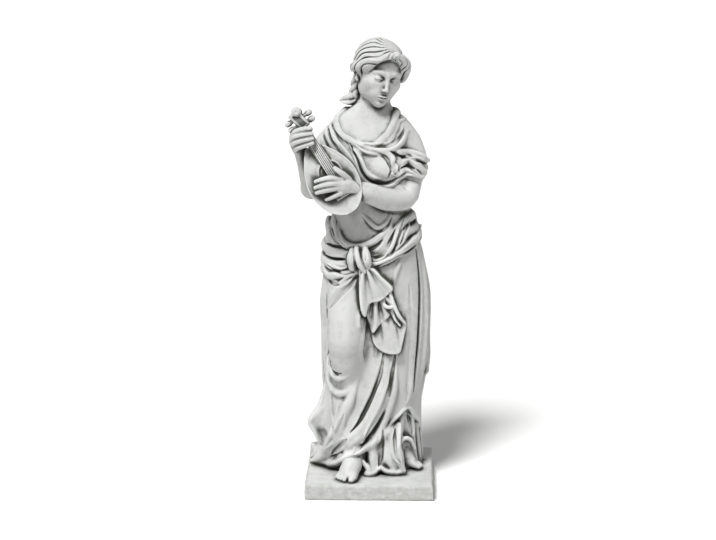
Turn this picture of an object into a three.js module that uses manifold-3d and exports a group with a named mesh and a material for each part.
// A garden statue cast in one piece: a standing muse in long drapery who plucks a lute, on a square plinth.
// Millimetres, +Z up, and the figure faces -Y. The origin is the middle of the plinth's underside.
//
// The trunk and the head are implicit forms, functions that give a point's distance outside them. Round bars,
// ellipsoids and the draped trunk are joined with fillets, and plain cores are wrapped on to the whole. Arms,
// hands, lute, knot and feet are meshes of their own, and all of them are joined into one solid.
import * as THREE from "three";
import { mergeVertices } from "three/addons/utils/BufferGeometryUtils.js";
import Module from "manifold-3d";

const wasm = await Module();
wasm.setup();

// Driving dimensions
const PLINTH_SIDE = 340;
const PLINTH_HEIGHT = 41;
const PLINTH_ROUNDING = 5;
const NECK_TOP = 1030;
const HEAD_CENTRE = [24, 6, 1119];
const HEAD_SCALE = 1.14;
const HEAD_YAW = 25;
const HEAD_ROLL = 10;
const HEAD_BOW = 15;
const LUTE_CENTRE = [-98, -116, 852];
const LUTE_NECK_WAY = [-0.53, 0.145, 0.835];
const LUTE_FACE_WAY = [0, -0.985, 0.17];
const LUTE_LENGTH = 200;
const LUTE_HALF_WIDTH = 70;
const LUTE_BOWL_DEPTH = 60;
const LUTE_RIM = 9;

// Fineness of the wrapped cores
const AROUND_TRUNK = 46;
const AROUND_HEAD = 28;
const RINGS_OF_HEAD = 18;
const LUTE_RINGS = 11;
const LUTE_SIDES = 12;

const FAR = 1e4;
const vector = (p) => new THREE.Vector3(...p);
const onPlinth = (height) => PLINTH_HEIGHT + height;

// Eases from 0 to 1.
const ease = (t) => t * t * (3 - 2 * t);

// Reads a list of values at a share t of its length, eased from one to the next.
function along(values, t) {
  const at = Math.min(Math.max(t, 0), 1) * (values.length - 1);
  const i = Math.min(Math.floor(at), values.length - 2);
  return i < 0 ? values[0] : values[i] + (values[i + 1] - values[i]) * ease(at - i);
}

// An ellipsoid.
function blob([cx, cy, cz], [rx, ry, rz]) {
  const reach = Math.max(rx, ry, rz);
  return (x, y, z) => {
    const far = Math.hypot(x - cx, y - cy, z - cz) - reach;
    if (far > 60) return far;
    const [u, v, w] = [(x - cx) / rx, (y - cy) / ry, (z - cz) / rz];
    const size = Math.hypot(u, v, w);
    const slope = Math.hypot(u / rx, v / ry, w / rz);
    return slope > 1e-9 ? (size * (size - 1)) / slope : -Math.min(rx, ry, rz);
  };
}

// A round bar along sampled points, with a radius at each.
function bar(samples, radii) {
  const box = new THREE.Box3().setFromPoints(samples).expandByScalar(Math.max(...radii));
  return (x, y, z) => {
    const far = Math.hypot(
      Math.max(box.min.x - x, 0, x - box.max.x),
      Math.max(box.min.y - y, 0, y - box.max.y),
      Math.max(box.min.z - z, 0, z - box.max.z),
    );
    if (far > 30) return far;
    let least = FAR;
    for (let i = 0; i < samples.length - 1; i++) {
      const [a, b] = [samples[i], samples[i + 1]];
      const [bx, by, bz] = [b.x - a.x, b.y - a.y, b.z - a.z];
      const [px, py, pz] = [x - a.x, y - a.y, z - a.z];
      const square = bx * bx + by * by + bz * bz;
      const t = square > 0 ? Math.min(Math.max((px * bx + py * by + pz * bz) / square, 0), 1) : 0;
      const gap = Math.hypot(px - bx * t, py - by * t, pz - bz * t);
      least = Math.min(least, gap - radii[i] - (radii[i + 1] - radii[i]) * t);
    }
    return least;
  };
}

const smooth = (points) => new THREE.CatmullRomCurve3(points.map(vector));

// A limb: a round bar along a smooth curve through points.
function limb(points, radii) {
  const count = (points.length - 1) * (points.length > 8 ? 1 : 4);
  const samples = smooth(points).getPoints(count);
  return bar(samples, samples.map((_, i) => along(radii, i / count)));
}

function softMin(a, b, k) {
  const h = Math.max(k - Math.abs(a - b), 0) / k;
  return Math.min(a, b) - (h * h * k) / 4;
}

// Joins forms, with a fillet of about k where they meet.
function join(k, ...forms) {
  return (x, y, z) => forms.reduce((least, form) => softMin(least, form(x, y, z), k), FAR);
}

// Cuts forms out of another, with an edge rounded by about k.
function carve(k, body, ...cuts) {
  return (x, y, z) => cuts.reduce((most, cut) => -softMin(-most, cut(x, y, z), k), body(x, y, z));
}

// The draped trunk: level sections, each given as height and its reach to the left, right, front and back.
const SECTIONS = [
  [30, -138, 134, -58, 128],
  [90, -132, 130, -54, 120],
  [160, -130, 134, -58, 118],
  [240, -122, 138, -66, 122],
  [320, -124, 148, -70, 126],
  [400, -126, 152, -72, 128],
  [480, -128, 154, -74, 128],
  [560, -128, 148, -76, 126],
  [620, -122, 138, -76, 122],
  [670, -120, 122, -70, 112],
  [720, -106, 110, -60, 100],
  [780, -90, 98, -56, 94],
  [850, -94, 98, -58, 98],
  [905, -104, 104, -54, 100],
  [942, -110, 108, -40, 92],
  [968, -106, 104, -28, 84],
  [990, -94, 90, -18, 76],
  [1010, -68, 62, -12, 70],
  [NECK_TOP, -26, 36, 2, 60],
];
const SQUARENESS = 2.25;
const axisX = (z) => 4 + 8 * Math.min(z / 500, 1);
const AXIS_Y = 28;

// The four reaches at a height, on a smooth curve through the sections.
function sectionAt(z) {
  const last = SECTIONS.length - 1;
  const above = SECTIONS.findIndex((s) => s[0] > z);
  const i = above < 0 ? last - 1 : Math.max(above - 1, 0);
  const at = (n) => SECTIONS[Math.min(Math.max(n, 0), last)];
  const t = Math.min(Math.max((z - at(i)[0]) / (at(i + 1)[0] - at(i)[0]), 0), 1);
  return [1, 2, 3, 4].map((n) => {
    const [a, b, c, d] = [at(i - 1)[n], at(i)[n], at(i + 1)[n], at(i + 2)[n]];
    return b + 0.5 * t * (c - a + t * (2 * a - 5 * b + 4 * c - d + t * (3 * (b - c) + d - a)));
  });
}

// How far a level section's outline is from the axis, seen from a point at dx, dy.
function sectionShare(z, dx, dy, grow) {
  const [left, right, front, back] = sectionAt(z);
  const wide = (dx < 0 ? axisX(z) - left : right - axisX(z)) + grow;
  const deep = (dy < 0 ? AXIS_Y - front : back - AXIS_Y) + grow;
  return (Math.abs(dx / wide) ** SQUARENESS + Math.abs(dy / deep) ** SQUARENESS) ** (1 / SQUARENESS);
}

function sleeve(grow, low, high) {
  return (x, y, z) => {
    const [dx, dy] = [x - axisX(z), y - AXIS_Y];
    const share = Math.max(sectionShare(z, dx, dy, grow), 1e-6);
    const out = Math.hypot(dx, dy);
    return Math.max(out - out / share, z - high, low(Math.atan2(dx, -dy)) - z);
  };
}

// Reads a list of heights, spaced evenly round the axis to the right from a first angle in degrees.
const round = (heights, first) => (angle) => {
  const turned = THREE.MathUtils.radToDeg(angle) - first;
  return along([...heights, heights[0]], (((turned % 360) + 360) % 360) / 360);
};

// The overgarment's hem: low at the left of the front, rising to the right hip's side, and low again behind.
const hemHeight = round([52, 70, 98, 118, 176, 216, 170, 130, 100, 80, 66, 60, 54, 50, 50, 48], -60);

const underSkirt = sleeve(-8, () => 20, 300);
const overGarment = sleeve(2, hemHeight, NECK_TOP);

// Skirts, with the bent leg's thigh and shin, the standing leg and the bosom under the cloth
const body = join(
  24,
  join(3, underSkirt, overGarment),
  limb([[-52, 10, 650], [-60, -38, 520], [-60, -56, 402], [-54, -30, 280]], [52, 52, 50, 36]),
  limb([[-56, -30, 300], [-52, -38, 210], [-48, -46, 150], [-46, -48, 124]], [34, 40, 38, 33]),
  limb([[-56, -46, 190], [-96, -26, 110], [-132, 8, 62]], [16, 18, 12]),
  limb([[72, 16, 640], [86, -2, 440], [84, 8, 280]], [56, 56, 46]),
  blob([-46, -26, 866], [40, 38, 42]),
  blob([36, -30, 864], [42, 42, 42]),
);

const upperArms = join(
  16,
  limb([[-62, 36, 952], [-94, 32, 926], [-128, 22, 870], [-146, 8, 826]], [32, 42, 34, 28]),
  limb([[62, 36, 954], [92, 30, 924], [106, 14, 870], [96, -8, 796]], [32, 41, 38, 33]),
  limb([[92, 28, 926], [114, 14, 890], [112, 2, 862]], [30, 36, 31]),
);

const plainTrunk = join(16, body, upperArms);

// The share of a form's distance that a ray steps at a time, because a stretched form gives it too long
const CAUTION = 0.8;

// How far out from the axis a level ray meets a form, coming from outside.
function reachOf(form, angle, z) {
  let r = 240;
  for (let step = 0; step < 120 && r > 0; step++) {
    const gap = form(axisX(z) + r * Math.sin(angle), AXIS_Y - r * Math.cos(angle), z);
    if (gap < 0.05) break;
    r -= Math.max(gap * CAUTION, 0.3);
  }
  return Math.max(r, 0);
}

// Lays points on the front of the plain trunk, from their x and z, a lift in front of it.
const laidInFront = (points, lift) =>
  points.map(([x, z]) => {
    let y = -200;
    for (let step = 0; step < 80 && y < AXIS_Y; step++) {
      const gap = plainTrunk(x, y, z);
      if (gap < 0.2) break;
      y += gap * CAUTION;
    }
    return [x, y - lift, z];
  });

// Lays points round the plain trunk, from their angle (0 in front, 90 at the right) and their height.
const laidRound = (points, lift) =>
  points.map(([degrees, z]) => {
    const angle = THREE.MathUtils.degToRad(degrees);
    const r = reachOf(plainTrunk, angle, z) + lift;
    return [axisX(z) + r * Math.sin(angle), AXIS_Y - r * Math.cos(angle), z];
  });

// Points at even steps along a smooth curve through points of two numbers.
function evenSteps(points) {
  const curve = new THREE.SplineCurve(points.map((p) => new THREE.Vector2(...p)));
  return curve.getPoints((points.length - 1) * 3).map((p) => p.toArray());
}

// A fold as a form, laid on the trunk's front or round it.
const frontFold = (points, radii, lift) => limb(laidInFront(evenSteps(points), lift), radii);
const roundFold = (points, radii, lift) => limb(laidRound(evenSteps(points), lift), radii);

// The height of the middle roll round the hips, and of the bodice's neckline
const rollRise = round([617, 640, 672, 702, 704, 700, 690, 678, 652, 628, 616, 612], -30);
const neckline = round([1008, 952, 927, 926, 956, 1000, 1008, 1008, 1008, 1008, 1008, 1008], -90);

// Folds of the skirt
const skirtFolds = [
  frontFold(
    [[-38, 286], [-52, 250], [-68, 208], [-89, 164], [-114, 105], [-140, 60]],
    [6, 10, 10, 11, 10, 8],
    0,
  ),
  frontFold(
    [[51, 345], [41, 283], [20, 222], [-9, 172], [-47, 133], [-84, 92]],
    [6, 11, 13, 13, 11, 8],
    -2,
  ),
  frontFold([[36, 350], [26, 310], [10, 262], [-4, 225], [-24, 186]], [3, 5, 6, 5, 3], 1),
  frontFold([[-102, 375], [-103, 339], [-94, 320], [-78, 313], [-58, 322]], [5, 7, 8, 8, 4], 0),
  frontFold([[-116, 320], [-106, 284], [-87, 268], [-65, 271], [-44, 290]], [6, 9, 10, 9, 5], 0),
  frontFold([[-38, 600], [-56, 578], [-80, 552], [-98, 528], [-110, 490]], [5, 9, 10, 9, 6], 2),
  frontFold([[-18, 560], [-12, 500], [-4, 440], [-14, 380], [-40, 340]], [6, 9, 10, 9, 6], 0),
  frontFold([[76, 620], [68, 596], [56, 557], [70, 480], [84, 400]], [6, 8, 9, 9, 6], -2),
  frontFold([[110, 220], [76, 178], [44, 150], [15, 128], [-14, 108], [-52, 94]], [5, 6, 6, 6, 6, 6], 1),
  roundFold([[74, 655], [72, 600], [72, 500], [70, 420], [68, 330], [66, 250]], [7, 9, 9, 9, 8, 6], 2),
  roundFold([[88, 640], [90, 540], [88, 440], [84, 340], [80, 300]], [8, 10, 10, 10, 6], 2),
  roundFold([[-82, 570], [-84, 470], [-82, 370], [-84, 280]], [6, 9, 9, 6], 2),
  limb([[-116, 22, 250], [-134, 12, 205], [-150, 2, 172], [-146, -4, 146]], [8, 12, 13, 6]),
  limb([[136, 26, 440], [146, 26, 360], [152, 22, 306]], [10, 13, 7]),
  ...[-124, -152, 180, 152, 124].map((angle, i) => {
    const route = [[angle + 6, 600], [angle, 440], [angle - 4, 260], [angle - 4, 90 + 12 * (i % 2)]];
    return roundFold(route, [7, 11, 13, 11], 1);
  }),
];

const skirtGrooves = [
  roundFold([[66, 655], [64, 607], [64, 539], [62, 444], [59, 347], [57, 250]], [3, 5, 6, 6, 6, 4], 1),
  frontFold([[33, 376], [22, 332], [9, 276], [-7, 221], [-28, 174]], [4, 5, 5, 4, 3], 2),
  frontFold([[62, 342], [57, 298], [44, 243], [25, 187], [4, 151]], [3, 4, 5, 5, 3], 2),
  frontFold([[-31, 590], [-46, 566], [-70, 542], [-89, 520], [-107, 496]], [5, 5, 4, 4, 3], 3),
  frontFold([[-103, 261], [-100, 214], [-98, 172], [-101, 144]], [4, 6, 6, 4], 2),
  frontFold([[-60, 143], [-76, 117], [-98, 92]], [3, 5, 4], 3),
];

// Folds of the under skirt, which shows below the hem
const lowFolds = [
  frontFold([[2, 112], [7, 76], [-6, onPlinth(8)]], [8, 9, 9], 2),
  frontFold([[33, 135], [31, 86], [17, onPlinth(8)]], [9, 10, 9], 2),
  frontFold([[58, 140], [56, 101], [66, 70], [84, onPlinth(8)]], [8, 9, 9, 8], 4),
  frontFold([[78, 160], [84, 118], [92, 66]], [6, 8, 8], 2),
  limb([[-158, -6, 46], [-124, -36, 48], [-92, -60, 50], [-60, -66, 62]], [8, 10, 10, 9]),
  limb([[-160, 16, 50], [-140, -14, 66], [-112, -40, 84], [-84, -56, 96]], [7, 9, 9, 6]),
  limb([[-30, -64, 52], [0, -72, 50], [40, -62, 50], [76, -58, 49], [92, -40, 50]], [9, 9, 8, 8, 8]),
];

// The rolled overgarment round the hips, its knot, and the end that falls from it
function hipRoll(rise, r) {
  const turns = Array.from({ length: 12 }, (_, i) => -20 - 30 * i);
  const points = turns.map((turn) => [turn, rollRise(THREE.MathUtils.degToRad(turn)) + rise]);
  return roundFold([...points, [-358, 634 + rise * 0.7]], [r, r + 1, r + 2, r + 3, r + 3, r + 2, r - 1], 3);
}
const hipRolls = [
  hipRoll(21, 9),
  hipRoll(0, 8),
  hipRoll(-21, 8),
  frontFold([[0, 652], [27, 668], [47, 695], [62, 722]], [6, 8, 9, 7], 0),
  frontFold([[50, 642], [68, 671], [81, 703], [92, 732]], [5, 8, 9, 7], 0),
  frontFold([[-86, 736], [-80, 704], [-65, 681], [-39, 665], [-8, 664]], [6, 8, 8, 8, 5], 0),
  frontFold([[-18, 774], [-10, 744], [3, 720], [21, 707], [39, 715], [52, 745]], [3, 5, 6, 7, 6, 3], 0),
];
// Folds of the bodice: its wide neckline, the folds over and under the breast, and the gathered sleeve
const collar = Array.from({ length: 13 }, (_, i) => -100 + 17 * i).map((turn) => [
  turn,
  neckline(THREE.MathUtils.degToRad(turn)),
]);
const bodiceFolds = [
  roundFold(collar, [9, 11, 12, 11, 9], 0),
  frontFold(
    [[-84, 944], [-52, 932], [-35, 895], [-22, 862], [-2, 840], [30, 831], [60, 842]],
    [5, 10, 10, 7],
    1,
  ),
  frontFold([[-46, 914], [-10, 910], [26, 903], [50, 886], [58, 862]], [5, 9, 10, 9, 5], 1),
  frontFold([[-112, 955], [-92, 924], [-66, 898], [-50, 876]], [6, 10, 10, 6], 2),
  limb([[40, -42, 914], [74, -30, 908], [108, -12, 896], [142, 6, 877]], [8, 11, 12, 7]),
  limb([[58, -48, 870], [88, -32, 878], [118, -16, 870], [138, 2, 852]], [6, 11, 12, 7]),
  limb([[48, -52, 838], [78, -44, 848], [108, -30, 852], [132, -6, 840]], [6, 10, 9, 7]),
  limb([[140, 6, 876], [138, 36, 880], [116, 62, 894]], [8, 10, 6]),
];
const bodiceGrooves = [
  frontFold([[14, 906], [46, 905], [78, 920], [96, 944]], [2, 5, 6, 3], 2),
  frontFold([[66, 896], [76, 880], [68, 860]], [3, 6, 4], 3),
];

// The low stone against the hem, behind the bent leg
const lowStone = join(6, blob([-134, 58, 50], [25, 34, 33]), blob([-130, 94, 48], [22, 32, 30]));

const trunk = carve(
  3,
  join(5, plainTrunk, ...skirtFolds, ...lowFolds, ...hipRolls, ...bodiceFolds, lowStone),
  ...skirtGrooves,
  ...bodiceGrooves,
);

// The head, in its own frame from between the ears: x to the right, y to the back and z to the crown
const headTurn = new THREE.Matrix4().makeRotationFromEuler(
  new THREE.Euler(...[HEAD_BOW, HEAD_ROLL, HEAD_YAW].map(THREE.MathUtils.degToRad), "ZYX"),
);
const bothSides = (side) => [side(-1), side(1)];

const face = join(
  9,
  blob([0, 12, 6], [52, 62, 56]),
  blob([0, -14, -24], [45, 41, 52]),
  blob([0, -20, -48], [36, 33, 30]),
  blob([0, -40, -68], [15, 16, 13]),
);
const features = [
  limb([[0, -50, 6], [0, -57, -12], [0, -62, -27]], [4, 5, 6.5]),
  ...bothSides((s) => blob([s * 7, -56, -30], [6, 7, 5])),
  ...bothSides((s) => limb([[s * 5, -52, 7], [s * 20, -50, 10], [s * 36, -38, 6]], [4, 5, 4])),
  ...bothSides((s) => limb([[0, -58, -46], [s * 7, -57, -46], [s * 15, -51, -49]], [3.5, 4, 2])),
  limb([[-12, -52, -54], [0, -57, -56], [12, -52, -54]], [2.5, 5, 2.5]),
];
const eyes = bothSides((s) => blob([s * 20, -43, -7], [13, 10, 8]));
const sockets = bothSides((s) => blob([s * 19, -58, -5], [13, 9, 8]));
const bareHead = join(2, carve(5, join(4, face, ...features), ...sockets), ...eyes);

// Rolls of hair from a parting over the brow, round the temples and over the ears to the nape
const hairRoll = (side, [rise, out]) =>
  limb(
    [
      [8, -38 + out, 45 + rise],
      [8 + side * 28, -36 + out, 37 + rise],
      [side * (50 - out / 3), -12 + out, 16 + rise],
      [side * (55 - out / 3), 16 + out, -4 + rise],
      [side * 40, 46, -20 + rise / 2],
      [0, 66, -22],
    ],
    [7, 10, 13, 13, 12, 11],
  );
const hair = join(
  5,
  blob([0, 13, 12], [55, 62, 55]),
  ...bothSides((s) => hairRoll(s, [0, 0])),
  ...bothSides((s) => hairRoll(s, [20, 14])),
  blob([0, 70, -14], [24, 18, 20]),
  blob([53, -6, -8], [18, 25, 31]),
  blob([42, 0, 32], [24, 30, 25]),
  blob([-48, 10, -8], [17, 23, 28]),
);
const head = join(3, bareHead, hair);

// The trunk's rows follow the hem and the hips' rolls. Each stage is a height at an angle, and its rows.
const STAGES = [
  [() => PLINTH_HEIGHT - 6, 4],
  [(angle) => hemHeight(angle) - 4, 2],
  [(angle) => hemHeight(angle) + 10, 8],
  [() => 310, 9],
  [() => 560, 3],
  [(angle) => rollRise(angle) - 36, 8],
  [(angle) => rollRise(angle) + 34, 4],
  [() => 800, 8],
  [(angle) => neckline(angle) - 14, 4],
  [(angle) => neckline(angle) + 14, 3],
  [() => NECK_TOP - 2, 0],
];
const rowsOfTrunk = STAGES.reduce((sum, [, rows]) => sum + rows, 0);

function rowHeight(row, angle) {
  let left = row;
  for (let i = 0; i < STAGES.length - 1; i++) {
    const [height, rows] = STAGES[i];
    if (left <= rows) return height(angle) + ((STAGES[i + 1][0](angle) - height(angle)) * left) / rows;
    left -= rows;
  }
  return NECK_TOP - 2;
}

// Wraps the trunk: the vertices of a plain lathed core, each pushed in along its own level ray to the form.
function wrapTrunk(form) {
  const profile = [new THREE.Vector2(0, 0)];
  for (let row = 0; row <= rowsOfTrunk; row++) profile.push(new THREE.Vector2(1, row));
  profile.push(new THREE.Vector2(0, rowsOfTrunk));
  const wrapped = moved(new THREE.LatheGeometry(profile, AROUND_TRUNK), (x, row, z) => {
    const turned = Math.atan2(x, z);
    const onAxis = Math.hypot(x, z) < 0.5;
    const angle = turned - 0.45 * Math.sin(turned);
    const height = rowHeight(row, onAxis ? 0 : angle);
    const r = onAxis ? 0 : reachOf(form, angle, height);
    return [axisX(height) + r * Math.sin(angle), AXIS_Y - r * Math.cos(angle), height];
  });
  return bentAlong(wrapped, form);
}

// Turns the diagonal of each four-sided cell to the one that lies nearer the form.
function bentAlong(geometry, form) {
  const place = geometry.getAttribute("position");
  const { array } = geometry.index;
  const corner = (i) => new THREE.Vector3().fromBufferAttribute(place, i);
  const gapAt = (i, j) => Math.abs(form(...corner(i).lerp(corner(j), 0.5).toArray()));
  for (let i = 0; i + 5 < array.length; i += 6) {
    const [a, b, d, c, e, f] = array.subarray(i, i + 6);
    const wholeCell = e === d && f === b && new Set([a, b, c, d]).size === 4;
    if (wholeCell && gapAt(a, c) < gapAt(b, d)) array.set([a, b, c, a, c, d], i);
  }
  return geometry;
}

// Wraps the head: a sphere whose pole is the middle of the face, with its rings crowded towards there.
function wrapHead(form) {
  const core = new THREE.SphereGeometry(1, AROUND_HEAD, RINGS_OF_HEAD);
  const wrapped = moved(core, (x, y, z) => {
    const turned = Math.atan2(x, z);
    const even = Math.acos(THREE.MathUtils.clamp(y, -1, 1));
    const fromFace = even - 0.42 * Math.sin(even);
    const level = Math.sin(fromFace);
    const way = new THREE.Vector3(level * Math.sin(turned), -Math.cos(fromFace), level * Math.cos(turned));
    const place = new THREE.Vector3(0, 4, -8);
    let r = 140;
    for (let step = 0; step < 120; step++) {
      const gap = form(place.x + way.x * r, place.y + way.y * r, place.z + way.z * r);
      if (gap < 0.05) break;
      r -= Math.max(gap * CAUTION, 0.2);
    }
    return place.addScaledVector(way, r).toArray();
  });
  bentAlong(wrapped, form);
  return wrapped.scale(HEAD_SCALE, HEAD_SCALE, HEAD_SCALE).applyMatrix4(headTurn).translate(...HEAD_CENTRE);
}

// Moves each vertex of a closed geometry to where a function says.
function moved(geometry, where) {
  geometry.deleteAttribute("normal");
  geometry.deleteAttribute("uv");
  const merged = mergeVertices(geometry, 1e-4);
  const place = merged.getAttribute("position");
  for (let i = 0; i < place.count; i++)
    place.setXYZ(i, ...where(place.getX(i), place.getY(i), place.getZ(i)));
  return merged;
}

// A tapering limb as a mesh: a lathed bar with rounded ends, bent along the curve.
function limbMesh(points, radii, sides, rows, flat = 1) {
  const curve = smooth(points);
  const profile = [new THREE.Vector2(0, 0)];
  for (let i = 0; i <= rows; i++) profile.push(new THREE.Vector2(1, i / rows));
  profile.push(new THREE.Vector2(0, 1));
  const frames = curve.computeFrenetFrames(rows);
  const length = curve.getLength();
  return moved(new THREE.LatheGeometry(profile, sides), (x, t, z) => {
    const row = Math.round(t * rows);
    const r = along(radii, t);
    const onEnd = Math.hypot(x, z) < 0.5;
    const cap = onEnd ? (t < 0.5 ? -0.7 : 0.7) * r : 0;
    const place = curve.getPointAt(t);
    place.addScaledVector(frames.tangents[row], Math.max(Math.min(cap, length), -length));
    place.addScaledVector(frames.normals[row], x * r * flat);
    place.addScaledVector(frames.binormals[row], z * r);
    return place.toArray();
  });
}

// Turns a closed geometry into a solid for joining, right side out.
function solid(geometry) {
  const plain = geometry.index ? geometry.toNonIndexed() : geometry.clone();
  for (const name of Object.keys(plain.attributes)) if (name !== "position") plain.deleteAttribute(name);
  const merged = mergeVertices(plain, 1e-3);
  const vertProperties = new Float32Array(merged.attributes.position.array);
  const triVerts = new Uint32Array(merged.index.array);
  const made = () => new wasm.Manifold(new wasm.Mesh({ numProp: 3, vertProperties, triVerts }));
  const first = made();
  if (first.volume() > 0) return first;
  for (let i = 0; i < triVerts.length; i += 3)
    [triVerts[i + 1], triVerts[i + 2]] = [triVerts[i + 2], triVerts[i + 1]];
  return made();
}

// The lute's own frame: u across its face to the right, v along the neck, w out of its face.
const luteV = vector(LUTE_NECK_WAY).normalize();
const luteU = new THREE.Vector3().crossVectors(luteV, vector(LUTE_FACE_WAY)).normalize();
const luteW = new THREE.Vector3().crossVectors(luteU, luteV).normalize();
const luteFrame = new THREE.Matrix4().makeBasis(luteU, luteV, luteW).setPosition(vector(LUTE_CENTRE));

// Half the face's width at a share s of its length: round at the tail, and drawn in to the neck.
function luteHalfWidth(s) {
  const round = Math.sqrt(Math.max(1 - ((s - 0.46) / 0.46) ** 2, 0));
  const drawnIn = 0.14 + 0.86 * Math.cos((Math.PI / 2) * Math.min((s - 0.46) / 0.6, 1));
  return LUTE_HALF_WIDTH * (s < 0.46 ? round : drawnIn);
}

function luteBody() {
  const profile = [new THREE.Vector2(0, 0)];
  for (let i = 0; i <= LUTE_RINGS; i++) profile.push(new THREE.Vector2(1, i / LUTE_RINGS));
  profile.push(new THREE.Vector2(0, 1));
  const bowl = moved(new THREE.LatheGeometry(profile, LUTE_SIDES), (x, t, z) => {
    const s = 0.5 - 0.5 * Math.cos(Math.PI * t);
    const half = Math.max(luteHalfWidth(s), 2);
    const depth = LUTE_BOWL_DEPTH * Math.min(half / LUTE_HALF_WIDTH, 1);
    return [x * half, (s - 0.5) * LUTE_LENGTH, z > 0 ? z * LUTE_RIM : z * depth];
  });
  return bowl.applyMatrix4(luteFrame);
}

function luteBox(size, [u, v, w], bend = 0) {
  const box = new THREE.BoxGeometry(...size);
  box.rotateZ(THREE.MathUtils.degToRad(bend));
  return box.translate(u, v, w).applyMatrix4(luteFrame);
}

function lutePeg([u, v, w], length) {
  const peg = new THREE.CylinderGeometry(6, 7, length, 6);
  return peg.rotateZ(THREE.MathUtils.degToRad(80)).translate(u, v, w).applyMatrix4(luteFrame);
}

// The rounded top of the peg box
function luteHead([u, v, w]) {
  const scroll = new THREE.CylinderGeometry(17, 17, 22, 10);
  return scroll.rotateX(Math.PI / 2).translate(u, v, w).applyMatrix4(luteFrame);
}

const lute = [
  luteBody(),
  luteBox([24, 150, 9], [0, 70, 9]),
  luteBox([22, 50, 20], [4, 142, 6]),
  luteBox([31, 44, 22], [9, 172, 6], -12),
  luteHead([14, 196, 6]),
  lutePeg([-12, 178, 6], 22),
  lutePeg([-12, 160, 6], 22),
  lutePeg([34, 176, 6], 22),
  lutePeg([31, 158, 6], 22),
];

// The knot's three loops and the end of the roll that falls from it, in pleats and three outlined flaps
const UPPER_FLAP = [
  [-26, 604], [8, 606], [34, 584], [58, 562], [32, 528], [-4, 514], [-14, 488], [-24, 496], [-24, 560],
];
const MIDDLE_FLAP = [[-8, 524], [34, 534], [64, 502], [46, 470], [10, 438], [0, 470]];
const LOWER_FLAP = [[6, 444], [12, 404], [40, 382], [80, 382], [92, 430], [84, 470], [30, 480]];

function flap(points, back, thickness) {
  const edge = new THREE.SplineCurve(points.map((p) => new THREE.Vector2(...p)));
  const outline = new THREE.Shape(edge.getPoints(11));
  const cloth = new THREE.ExtrudeGeometry(outline, {
    depth: thickness - 10,
    bevelThickness: 5,
    bevelSize: 4,
    bevelOffset: -4,
    bevelSegments: 1,
  });
  return cloth.rotateX(Math.PI / 2).translate(0, back - 5, 0);
}
const pleat = (points, radii) => limbMesh(points, radii, 6, points.length + 1);
const knotAndEnd = () => [
  limbMesh([[-43, -74, 664], [-52, -94, 634], [-38, -84, 600]], [8, 13, 8], 7, 4),
  limbMesh([[-24, -80, 666], [-25, -103, 632], [-17, -88, 600]], [8, 12, 8], 7, 4),
  limbMesh([[-4, -76, 666], [3, -96, 634], [-6, -86, 600]], [8, 13, 8], 7, 4),
  flap(UPPER_FLAP, -66, 26),
  flap(MIDDLE_FLAP, -66, 24),
  flap(LOWER_FLAP, -62, 22),
  pleat([[-13, -84, 602], [-20, -90, 550], [-18, -90, 498]], [9, 10, 6]),
  pleat([[-2, -84, 604], [4, -92, 560], [10, -90, 522]], [9, 11, 8]),
  pleat([[4, -82, 604], [28, -88, 580], [50, -86, 560]], [9, 11, 8]),
  pleat([[0, -86, 522], [4, -88, 480], [9, -84, 446]], [9, 10, 7]),
  pleat([[60, -76, 540], [72, -83, 500], [90, -76, 440]], [7, 10, 7]),
];

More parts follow.
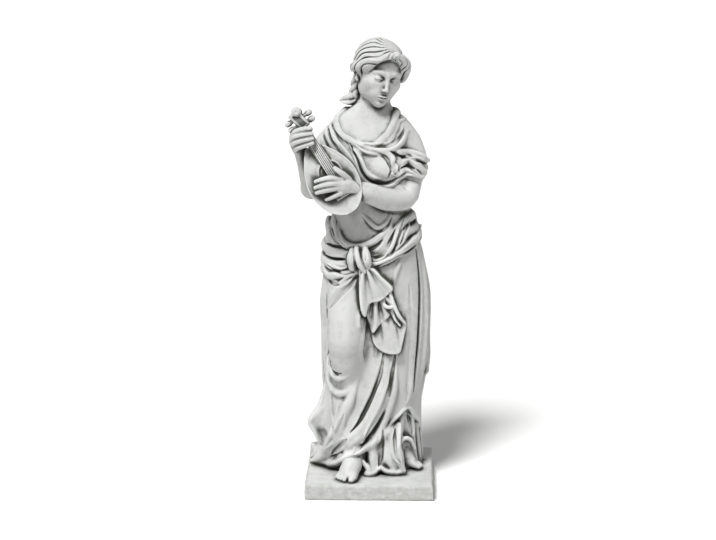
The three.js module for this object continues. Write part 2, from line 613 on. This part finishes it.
// Arms, hands and feet as meshes of their own
const PLUCKING_ARM = [[92, -6, 800], [84, -28, 784], [42, -68, 794], [0, -96, 812], [-42, -116, 830]];
const HOLDING_ARM = [[-138, 12, 840], [-156, 0, 806], [-162, -34, 840], [-174, -66, 896], [-186, -86, 938]];
const finger = (points, radii) => limbMesh(points, radii, 5, 3);
const toe = (heel, tip, radius) => limbMesh([heel, tip], [radius, radius], 5, 1);
const limbs = [
  limbMesh(PLUCKING_ARM, [34, 32, 30, 26, 20], 9, 6),
  limbMesh([[-36, -114, 829], [-60, -128, 838], [-84, -136, 842]], [20, 23, 19], 8, 3),
  finger([[-78, -138, 856], [-108, -147, 856], [-134, -140, 848]], [9, 8, 6]),
  finger([[-78, -140, 844], [-110, -150, 840], [-136, -142, 832]], [9, 8, 6]),
  finger([[-78, -138, 832], [-108, -148, 827], [-134, -142, 821]], [9, 8, 6]),
  finger([[-72, -134, 820], [-90, -144, 810], [-107, -140, 803]], [8, 7, 6]),
  finger([[-56, -128, 852], [-70, -140, 868], [-86, -140, 880]], [10, 9, 7]),
  limbMesh(HOLDING_ARM, [29, 30, 27, 21, 16], 8, 7),
  limbMesh([[-186, -80, 926], [-190, -88, 946], [-188, -92, 962]], [17, 19, 16], 8, 3),
  finger([[-196, -98, 965], [-182, -120, 978], [-156, -124, 981]], [8, 7, 6]),
  finger([[-198, -98, 950], [-182, -123, 964], [-152, -127, 968]], [8, 7, 6]),
  finger([[-196, -98, 936], [-178, -124, 950], [-149, -129, 956]], [8, 7, 6]),
  finger([[-190, -96, 923], [-172, -124, 937], [-148, -130, 945]], [8, 7, 6]),
  limbMesh([[-46, -50, 76], [-50, -92, 68], [-54, -122, 54]], [30, 25, 16], 8, 4),
  limbMesh([[84, 4, 96], [98, -20, 74], [116, -36, 58]], [24, 19, 14], 8, 4),
  toe([-42, -122, 53], [-42, -146, 50], 10),
  toe([-54, -124, 52], [-58, -147, 48], 7),
  toe([-62, -120, 51], [-68, -141, 47], 6),
  toe([-69, -114, 50], [-76, -134, 46], 6),
  toe([110, -42, 56], [138, -52, 50], 9),
  toe([118, -34, 56], [145, -42, 49], 6),
  toe([122, -24, 56], [146, -31, 49], 6),
  toe([122, -14, 55], [142, -19, 48], 6),
];

const neckMesh = limbMesh([[2, 40, 950], [6, 33, 1012], [16, 20, 1072]], [46, 42, 41], 12, 3);
const SHOULDER_LOCK = [[-16, 36, 1106], [-30, 34, 1076], [-44, 34, 1044], [-72, 34, 1016], [-92, 32, 1000]];
const lockMesh = limbMesh(SHOULDER_LOCK, [24, 21, 18, 14, 8], 7, 5);

// The plinth, with its edges eased
function plinthMesh() {
  const half = PLINTH_SIDE / 2 - PLINTH_ROUNDING;
  const outline = new THREE.Shape([
    new THREE.Vector2(-half, -half),
    new THREE.Vector2(half, -half),
    new THREE.Vector2(half, half),
    new THREE.Vector2(-half, half),
  ]);
  const slab = new THREE.ExtrudeGeometry(outline, {
    depth: PLINTH_HEIGHT - 2 * PLINTH_ROUNDING,
    bevelThickness: PLINTH_ROUNDING,
    bevelSize: PLINTH_ROUNDING,
    bevelSegments: 2,
  });
  return slab.translate(0, 0, PLINTH_ROUNDING);
}

const plinth = solid(plinthMesh());
const pieces = [
  wrapTrunk(trunk),
  ...knotAndEnd(),
  wrapHead(head),
  neckMesh,
  lockMesh,
  ...lute,
  ...limbs,
];
const statueSolid = pieces.reduce((made, piece) => made.add(solid(piece)), plinth);

// The solid's surface as a three.js geometry.
function geometryOf(made) {
  const { numProp, vertProperties, triVerts } = made.getMesh();
  const points = new Float32Array((vertProperties.length / numProp) * 3);
  for (let i = 0; i < points.length / 3; i++)
    points.set(vertProperties.subarray(i * numProp, i * numProp + 3), i * 3);
  const geometry = new THREE.BufferGeometry();
  geometry.setAttribute("position", new THREE.BufferAttribute(points, 3));
  geometry.setIndex(new THREE.BufferAttribute(new Uint32Array(triVerts), 1));
  geometry.computeVertexNormals();
  return geometry;
}

const castStone = new THREE.MeshStandardMaterial({ color: 0xc4c5c1, roughness: 0.92, metalness: 0 });
const statue = new THREE.Mesh(geometryOf(statueSolid), castStone);
statue.name = "muse_statue";

const model = new THREE.Group();
model.add(statue);
export default model;
